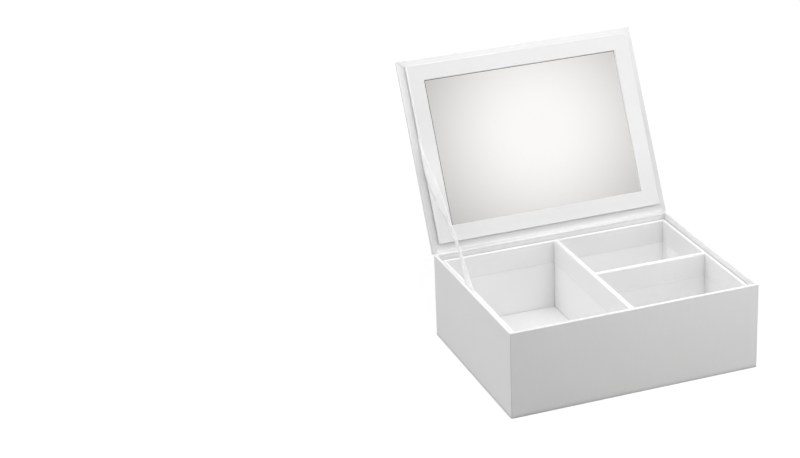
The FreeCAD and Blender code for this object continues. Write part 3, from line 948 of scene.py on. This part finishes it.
def strip_route(half_width, low, high):
    """The strip's left edge: down the back wall, the rim's two sides, and the foot of the pad."""
    lid_low = shut_box("hinge_strip_lid")[0]
    lid_face = SWING_OPEN @ Vector((-half_width, HINGE.y, lid_low.z))
    return (Vector((-half_width, low.y, low.z)),
            Vector((-half_width, low.y, high.z)),
            Vector((-half_width, HINGE.y, high.z)),
            lid_face + UP_THE_LID * (HINGE.y - lid_low.y))


def make_hinge_strip():
    """One strip down the back wall, over the rim, round the bend and up to the mirror pad."""
    strip = settings("hinge")
    low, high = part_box("hinge_strip_case")
    half_width = (high.x - low.x) / 2
    route = strip_route(half_width, low, high)
    bm = bmesh.new()
    last = bmesh.ops.create_vert(bm, co=route[0])["vert"][0]
    for place in route[1:]:
        last = bmesh.ops.extrude_vert_indiv(bm, verts=[last])["verts"][0]
        last.co = place
    made = bmesh.ops.extrude_edge_only(bm, edges=list(bm.edges))
    bmesh.ops.translate(bm, vec=(2 * half_width, 0.0, 0.0), verts=verts_made(made))
    round_edges(bm, creases_across(bm, half_width)[:-1], strip.sheet * 2)
    round_edges(bm, creases_across(bm, half_width)[-1:], strip.bend, segments=8)
    face_front(bm)
    # Painted shadow under the pad's foot, painted highlight just over the case's rim, and painted
    # shade just under it.
    at_pad = (route[-1].z, 0.0055, 0.13)
    over_rim = (high.z + 0.0006, 0.0018, -0.06)
    under_rim = (high.z - 0.0012, 0.0013, 0.1)
    material = paper_material("hinge_paper", rgb(settings("finish").strip), (low, high),
                              grain=0.02, cloud=0.008, streak=0.03, bump=0.06, worn=0.0,
                              shades=(at_pad, over_rim, under_rim))
    piece = finish_piece("hinge_strip", bm, material, strip.sheet)
    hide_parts("hinge_strip_case", "hinge_strip_lid")
    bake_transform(piece)


def creases_across(bm, half_width):
    """The creases that run across the strip, from the front one to the one at the hinge line."""
    creases = [e for e in bm.edges if abs(e.verts[0].co.x - e.verts[1].co.x) > half_width
               and len(e.link_faces) == 2]
    return sorted(creases, key=lambda e: e.verts[0].co.y)


def face_front(bm):
    """Turn the strip's faces towards the inside of the box."""
    bmesh.ops.recalc_face_normals(bm, faces=bm.faces)
    top = max(bm.faces, key=lambda f: f.calc_center_median().z)
    if top.normal.y > 0:
        bmesh.ops.reverse_faces(bm, faces=bm.faces)


# ---------------------------------------------------------------- ribbon

# Along the free length, from the rim to the lid: (share, turn in degrees, share of the bow).
RIBBON_TWIST = ((0.0, 2.0, 0.0), (0.08, -1.5, 0.3), (0.25, -10.0, 0.85), (0.36, -10.0, 1.0),
                (0.48, -8.0, 0.95), (0.62, 4.0, 0.7), (0.78, 11.0, 0.35), (1.0, 0.0, 0.0))
RIBBON_STEPS = 56
RIBBON_STRIPS = 6

# Relief of the ribs, and where the selvedge starts and is full, from the ribbon's edge, in metres.
RIBBON_RIBS = 0.00005
SELVEDGE = 0.0009
SELVEDGE_FULL = 0.0005


def smooth_between(table, share):
    """The values of a table at a share along it, eased between its rows."""
    for (start, *first), (end, *second) in zip(table, table[1:]):
        if share <= end:
            part = (share - start) / (end - start)
            ease = part * part * (3 - 2 * part)
            return [a + (b - a) * ease for a, b in zip(first, second)]
    return list(table[-1][1:])


def ribbon_stations(ribbon):
    """The ribbon's line, (middle, half width vector) at each step, and its free length's ends."""
    side = Vector((1.0, 0.0, 0.0))
    mouth_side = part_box("case_left_board")[1].x + settings("paper").sheet
    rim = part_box("case_wrap")[1].z
    spacer = shut_box("spacer_left")
    pad_side = shut_box("pad_frame_wrap")[0].x
    bottom = Vector((mouth_side + ribbon.wall_gap, ribbon.rim_y, rim))
    tuck_level = HINGE.z - (spacer[0].z + spacer[1].z) / 2
    top = (HINGE + UP_THE_LID * ribbon.lid_reach + LID_FACING * tuck_level
           + side * (pad_side - ribbon.pad_gap))
    run = top - bottom
    along = run.normalized()
    across = side.cross(along).normalized()
    slant = math.acos(along.dot(UP_THE_LID))
    half = ribbon.width / 2
    slanted = UP_THE_LID * (half / math.sin(slant))
    turning = half / math.tan(slant) * 1.2
    stations = [(bottom - along * ribbon.tail, across * half),
                (bottom - along * ribbon.tail * 0.5, across * half)]
    for step in range(RIBBON_STEPS + 1):
        share = step / RIBBON_STEPS
        turn, bow = smooth_between(RIBBON_TWIST, share)
        middle = bottom + along * (share * run.length) + side * (bow * ribbon.bow)
        spin = Matrix.Rotation(math.radians(turn), 3, along)
        ease = max(0.0, 1.0 - (1.0 - share) * run.length / turning)
        stations.append((middle, (spin @ (across * half)).lerp(slanted, ease)))
    tuck = side * ribbon.tuck + UP_THE_LID * (ribbon.tuck / math.tan(slant))
    stations.append((top + tuck * 0.15, slanted))
    stations.append((top + tuck, slanted))
    return stations, bottom, top


def ribbon_mesh(ribbon, stations):
    """One thin strap through the stations, its width and length kept in a UV map.

    Returns the bmesh and the strap's length.
    """
    bm = bmesh.new()
    bmesh.ops.create_grid(bm, x_segments=RIBBON_STRIPS, y_segments=1, size=1.0)
    bmesh.ops.delete(bm, geom=[v for v in bm.verts if v.co.y > 0], context="VERTS")
    rows = [sorted(bm.verts, key=lambda v: v.co.x)]
    shares = [v.co.x for v in rows[0]]
    uv = bm.loops.layers.uv.new("along the ribbon")
    for _ in stations[1:]:
        made = bmesh.ops.extrude_edge_only(bm, edges=edges_among(rows[-1]))
        rows.append(sorted(verts_made(made), key=lambda v: v.co.x))
    travelled = 0.0
    spot = {}
    before = stations[0][0]
    for row, (middle, half_width) in zip(rows, stations):
        travelled += (middle - before).length
        before = middle
        for share, vert in zip(shares, row):
            vert.co = middle + half_width * share
            spot[vert] = ((share + 1) * ribbon.width / 2, travelled)
    for face in bm.faces:
        face.smooth = True
        for loop in face.loops:
            loop[uv].uv = spot[loop.vert]
    return bm, travelled


def make_ribbon():
    """The satin ribbon: glued in the case's left gap and under the mirror frame."""
    ribbon = settings("ribbon")
    stations, bottom, top = ribbon_stations(ribbon)
    bm, travelled = ribbon_mesh(ribbon, stations)
    piece = finish_piece("ribbon", bm, ribbon_material(ribbon))
    thicken(piece, "ribbon thickness", ribbon.sheet, 0.0)
    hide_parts("ribbon_stay")
    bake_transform(piece)


def ribbon_material(ribbon):
    """White satin: fine ribs across, a denser selvedge, a soft sheen, a little see-through, and a
    painted glow in place of the light that comes through it.
    """
    material, tree, shader = new_material("ribbon_satin")
    along = put(tree, "TexCoord").outputs["UV"]
    across = put(tree, "SeparateXYZ", {0: along}).outputs[0]
    ribs = put(tree, "TexWave", {"Vector": along, "Scale": 500.0, "Distortion": 0.6,
                                 "Detail": 1.0}, wave_type="BANDS", bands_direction="Y")
    drawn = put(tree, "Mapping", {"Vector": along, "Scale": (4200.0, 120.0, 1.0)})
    threads = put(tree, "TexNoise", {"Vector": drawn.outputs[0], "Scale": 1.0, "Detail": 2.0})
    half = ribbon.width / 2
    off_middle = maths(tree, "ABSOLUTE", maths(tree, "SUBTRACT", across, half))
    selvedge = ramp(tree, off_middle, half - SELVEDGE, half - SELVEDGE_FULL)
    weave = maths(tree, "ADD", maths(tree, "MULTIPLY", ribs.outputs["Fac"], 0.5),
                  maths(tree, "MULTIPLY", threads.outputs["Fac"], 0.5))
    colour_from(tree, shader, rgb(settings("finish").ribbon),
                raised_by(tree, 0.96, weave, 0.06))
    tree.links.new(raised_by(tree, 0.74, selvedge, 0.22), shader.inputs["Alpha"])
    # Painted light: a faint glow in place of the light that comes through the ribbon.
    shader.inputs["Emission Color"].default_value = WHITE
    shader.inputs["Emission Strength"].default_value = ribbon.whitener
    shader.inputs["Roughness"].default_value = 0.42
    shader.inputs["Subsurface Weight"].default_value = 1.0
    shader.inputs["Subsurface Radius"].default_value = (1.0, 1.0, 1.0)
    shader.inputs["Subsurface Scale"].default_value = ribbon.glow_depth
    shader.inputs["Sheen Weight"].default_value = 0.35
    shader.inputs["Sheen Roughness"].default_value = 0.4
    emboss(tree, shader, maths(tree, "ADD", weave, selvedge), 0.3, RIBBON_RIBS)
    return material


# ---------------------------------------------------------------- boards that stay

def dress_boards():
    """Materials for the boards, sheets and tape that keep their CAD shapes."""
    finish = settings("finish")
    grey = board_material("grey_board", rgb(finish.grey_board), 0.28)
    for node in ("case_floor_board", "case_front_board", "case_back_board", "case_left_board",
                 "case_right_board", "lid_board", "pad_frame_board"):
        dress(node, grey)
    pale = board_material("spacer_board", rgb(finish.board) * 0.75, 0.1)
    for node in SPACERS:
        dress(node, pale)
    dress("tray_bed_sheet", board_material("corrugated_board", rgb(finish.kraft), 0.3))
    dress("underside_paper", paper_material("base_paper", rgb(finish.cover) * 0.95,
                                            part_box("underside_paper")))
    dress("mirror_adhesive", board_material("adhesive_foam", rgb(finish.glue), 0.08, 0.9))


# ---------------------------------------------------------------- stage

# Each lamp's name, place, size in metres and power in watts. All point at the middle of the case.
LAMPS = (
    ("top_left_lamp", (-0.9, 0.1, 1.4), 1.0, 9.0),
    ("top_front_lamp", (0.0, -0.9, 1.5), 1.2, 3.96),
    ("low_front_lamp", (0.1, -0.35, 0.45), 0.3, 0.77),
    ("low_top_lamp", (0.0, 0.05, 0.5), 0.35, 0.14),
    ("right_front_lamp", (0.5, -0.42, 0.3), 0.35, 1.21),
    ("right_lamp", (1.5, 0.1, 0.6), 0.9, 1.5),
    ("left_lamp", (-1.4, 0.5, 0.7), 0.9, 7.1),
    ("back_lamp", (0.1, 1.3, 1.5), 1.0, 1.4),
)
LAMP_AIM = Vector((0.0, 0.0, 0.06))

# The floor: its half width, how it reflects, its glow near the box, from where to where that rises
# to white, and how far the painted contact shadow where the box meets it reaches.
FLOOR_HALF = 14.0
FLOOR_TONE = (0.35, 0.35, 0.35, 1.0)
FLOOR_GLOW = 0.76
FLOOR_NEAR, FLOOR_FAR = 0.3, 0.7
CONTACT_REACH = 0.0015

# The card that the mirror shows: its half width, how far it is from the mirror, where the line of
# sight to it meets the mirror, from the mirror's middle, and its light's colour.
CARD_HALF = 0.6
CARD_AWAY = 1.5
CARD_SPOT = Vector((0.005, 0.0027, 0.0053))
CARD_LIGHT = (1.0, 0.985, 0.975, 1.0)


def make_lamp(name, place, size, power):
    """A soft square lamp that points at the case."""
    lamp = bpy.data.lights.new(name, "AREA")
    lamp.shape = "SQUARE"
    lamp.size = size
    lamp.energy = power
    holder = bpy.data.objects.new(name, lamp)
    holder.location = place
    holder.rotation_euler = (LAMP_AIM - Vector(place)).to_track_quat("-Z", "Y").to_euler()
    holder.visible_glossy = False
    bpy.context.scene.collection.objects.link(holder)


def seen_directly(tree):
    """1 for what the camera, a mirror or glass shows, and 0 for light that falls on things."""
    path = put(tree, "LightPath")
    both = maths(tree, "MAXIMUM", path.outputs["Is Camera Ray"], path.outputs["Is Glossy Ray"])
    return maths(tree, "MAXIMUM", both, path.outputs["Is Transmission Ray"])


def make_world(stage):
    """Even light from all round. What shows directly is white."""
    world = bpy.data.worlds.new("studio")
    world.use_nodes = True
    tree = world.node_tree
    tree.nodes.clear()
    direct = seen_directly(tree)
    strength = maths(tree, "ADD", maths(tree, "MULTIPLY", direct, 1.0 - stage.room), stage.room)
    light = put(tree, "Background", {"Color": WHITE, "Strength": strength})
    put(tree, "OutputWorld", {"Surface": light.outputs[0]})
    bpy.context.scene.world = world


def make_floor():
    """A wide pale floor that shows white, keeps a faint shadow of the box, and has a painted contact
    shadow where the box meets it.
    """
    material, tree = bare_material("pale_floor")
    direct = seen_directly(tree)
    matt = put(tree, "BsdfDiffuse", {"Color": FLOOR_TONE})
    place = put(tree, "TexCoord").outputs["Object"]
    away = put(tree, "VectorMath", {0: place}, operation="LENGTH")
    # Painted contact shadow: ambient occlusion darkens the floor's glow where the box meets it.
    near = put(tree, "AmbientOcclusion", {"Distance": CONTACT_REACH})
    strength = maths(tree, "MULTIPLY", near.outputs["AO"],
                     ramp(tree, away.outputs["Value"], FLOOR_NEAR, FLOOR_FAR, FLOOR_GLOW, 1.0))
    glow = put(tree, "Emission", {"Color": WHITE, "Strength": strength})
    lit = put(tree, "AddShader", {0: matt.outputs[0], 1: glow.outputs[0]})
    mixed = put(tree, "MixShader", {0: direct, 1: matt.outputs[0], 2: lit.outputs[0]})
    put(tree, "OutputMaterial", {"Surface": mixed.outputs[0]})
    bm = bmesh.new()
    bmesh.ops.create_grid(bm, x_segments=1, y_segments=1, size=FLOOR_HALF)
    floor = link_mesh("floor", bm, material)


def make_card(stage, camera_place):
    """A round-toned card in front of the box, which only the mirror shows."""
    low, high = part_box("mirror")
    spot = (low + high) / 2 + CARD_SPOT
    toward = (camera_place - spot).normalized()
    bounce = (2 * LID_FACING.dot(toward) * LID_FACING - toward).normalized()
    centre = spot + bounce * CARD_AWAY
    turn = bounce.to_track_quat("Z", "Y").to_matrix().to_4x4()
    bm = bmesh.new()
    bmesh.ops.create_grid(bm, x_segments=1, y_segments=1, size=CARD_HALF)
    bmesh.ops.transform(bm, matrix=Matrix.Translation(centre) @ turn, verts=bm.verts)
    card = link_mesh("mirror_card", bm, card_material(stage, centre))


def card_material(stage, centre):
    """A glow that falls off from the card's middle and that only glossy surfaces show."""
    material, tree = bare_material("card_glow")
    path = put(tree, "LightPath")
    where = put(tree, "TexCoord")
    off = put(tree, "VectorMath", {0: where.outputs["Object"], 1: centre}, operation="DISTANCE")
    strength = ramp(tree, off.outputs["Value"], stage.card_start, stage.card_reach,
                    stage.card, stage.card_edge)
    glow = put(tree, "Emission", {"Color": CARD_LIGHT, "Strength": strength})
    clear = put(tree, "BsdfTransparent")
    mixed = put(tree, "MixShader", {0: path.outputs["Is Glossy Ray"], 1: clear.outputs[0],
                                    2: glow.outputs[0]})
    put(tree, "OutputMaterial", {"Surface": mixed.outputs[0]})
    return material


def make_camera(stage):
    """The camera: low at the front left, looking a little left of the box."""
    turn, lift, roll = stage.azimuth, stage.elevation, stage.roll
    back = Vector((math.sin(turn) * math.cos(lift), -math.cos(turn) * math.cos(lift),
                   math.sin(lift)))
    right = Vector((math.cos(turn), math.sin(turn), 0.0))
    up = back.cross(right)
    right, up = (right * math.cos(roll) + up * math.sin(roll),
                 up * math.cos(roll) - right * math.sin(roll))
    aim = Vector((0.0, 0.0, stage.aim_height)) - right * stage.aim_left + up * stage.aim_up
    place = aim + back * stage.distance
    lens = bpy.data.cameras.new("camera")
    lens.lens = stage.lens
    lens.sensor_width = 36.0
    lens.clip_start = 0.05
    lens.clip_end = 60.0
    camera = bpy.data.objects.new("camera", lens)
    axes = Matrix((right, up, back)).transposed().to_4x4()
    camera.matrix_world = Matrix.Translation(place) @ axes
    bpy.context.scene.collection.objects.link(camera)
    bpy.context.scene.camera = camera
    return place


# ---------------------------------------------------------------- operators and panel

class JEWELBOX_OT_case_paper(bpy.types.Operator):
    """Wrap the case in its covering paper"""
    bl_idname = "jewelbox.case_paper"
    bl_label = "Case paper"

    def execute(self, context):
        make_case_paper()
        return {"FINISHED"}


class JEWELBOX_OT_trays(bpy.types.Operator):
    """Build the three trays: boards and papers"""
    bl_idname = "jewelbox.trays"
    bl_label = "Trays"

    def execute(self, context):
        make_trays()
        return {"FINISHED"}


class JEWELBOX_OT_lid(bpy.types.Operator):
    """Cover the lid and finish its label"""
    bl_idname = "jewelbox.lid"
    bl_label = "Lid paper and label"

    def execute(self, context):
        make_lid_paper()
        make_label()
        return {"FINISHED"}


class JEWELBOX_OT_mirror_pad(bpy.types.Operator):
    """Cover the mirror's frame and set the mirror in it"""
    bl_idname = "jewelbox.mirror_pad"
    bl_label = "Mirror pad"

    def execute(self, context):
        make_pad_paper()
        make_mirror()
        return {"FINISHED"}


class JEWELBOX_OT_hinge_strip(bpy.types.Operator):
    """Lay the hinge strip over the back rim and up the lid"""
    bl_idname = "jewelbox.hinge_strip"
    bl_label = "Hinge strip"

    def execute(self, context):
        make_hinge_strip()
        return {"FINISHED"}


class JEWELBOX_OT_ribbon(bpy.types.Operator):
    """Fix the ribbon between the case and the lid"""
    bl_idname = "jewelbox.ribbon"
    bl_label = "Ribbon"

    def execute(self, context):
        make_ribbon()
        return {"FINISHED"}


class JEWELBOX_OT_boards(bpy.types.Operator):
    """Finish the boards and sheets that keep their cut shapes"""
    bl_idname = "jewelbox.boards"
    bl_label = "Boards"

    def execute(self, context):
        dress_boards()
        return {"FINISHED"}


class JEWELBOX_OT_stage(bpy.types.Operator):
    """Set up the floor, lamps, card and camera"""
    bl_idname = "jewelbox.stage"
    bl_label = "Stage"

    def execute(self, context):
        stage = settings("stage")
        place = make_camera(stage)
        make_world(stage)
        make_floor()
        make_card(stage, place)
        for name, place, size, power in LAMPS:
            make_lamp(name, place, size, power * stage.lamps)
        context.scene.view_settings.view_transform = "Standard"
        return {"FINISHED"}


class JEWELBOX_PT_sidebar(bpy.types.Panel):
    """The jewellery box's pieces and their settings"""
    bl_idname = "JEWELBOX_PT_sidebar"
    bl_label = "Jewellery Box"
    bl_space_type = "VIEW_3D"
    bl_region_type = "UI"
    bl_category = "Jewellery Box"

    def draw(self, context):
        for operator in OPERATORS:
            self.layout.operator(operator.bl_idname)
        for name, group in GROUPS:
            box = self.layout.box()
            box.label(text=group.__doc__)
            for key in group.__annotations__:
                box.prop(settings(name), key)


GROUPS = (("paper", PaperSettings), ("boards", BoardSettings), ("pad", PadSettings),
          ("hinge", HingeSettings), ("ribbon", RibbonSettings), ("finish", FinishSettings),
          ("stage", StageSettings))
OPERATORS = (JEWELBOX_OT_case_paper, JEWELBOX_OT_trays, JEWELBOX_OT_lid, JEWELBOX_OT_mirror_pad,
             JEWELBOX_OT_hinge_strip, JEWELBOX_OT_ribbon, JEWELBOX_OT_boards, JEWELBOX_OT_stage)


def register():
    """Make the settings, the operators and the panel known to Blender."""
    for name, group in GROUPS:
        bpy.utils.register_class(group)
        setattr(bpy.types.Scene, "jewelbox_" + name, bpy.props.PointerProperty(type=group))
    for operator in OPERATORS:
        bpy.utils.register_class(operator)
    bpy.utils.register_class(JEWELBOX_PT_sidebar)


def unregister():
    """Take them away again."""
    bpy.utils.unregister_class(JEWELBOX_PT_sidebar)
    for operator in reversed(OPERATORS):
        bpy.utils.unregister_class(operator)
    for name, group in reversed(GROUPS):
        delattr(bpy.types.Scene, "jewelbox_" + name)
        bpy.utils.unregister_class(group)


def main():
    """Build every piece in turn and set the stage."""
    register()
    make_paper_grain()
    make_specks()
    make_edge_wear()
    bpy.ops.jewelbox.case_paper()
    bpy.ops.jewelbox.trays()
    bpy.ops.jewelbox.lid()
    bpy.ops.jewelbox.mirror_pad()
    bpy.ops.jewelbox.hinge_strip()
    bpy.ops.jewelbox.ribbon()
    bpy.ops.jewelbox.boards()
    bpy.ops.jewelbox.stage()


if __name__ == "__main__":
    main()
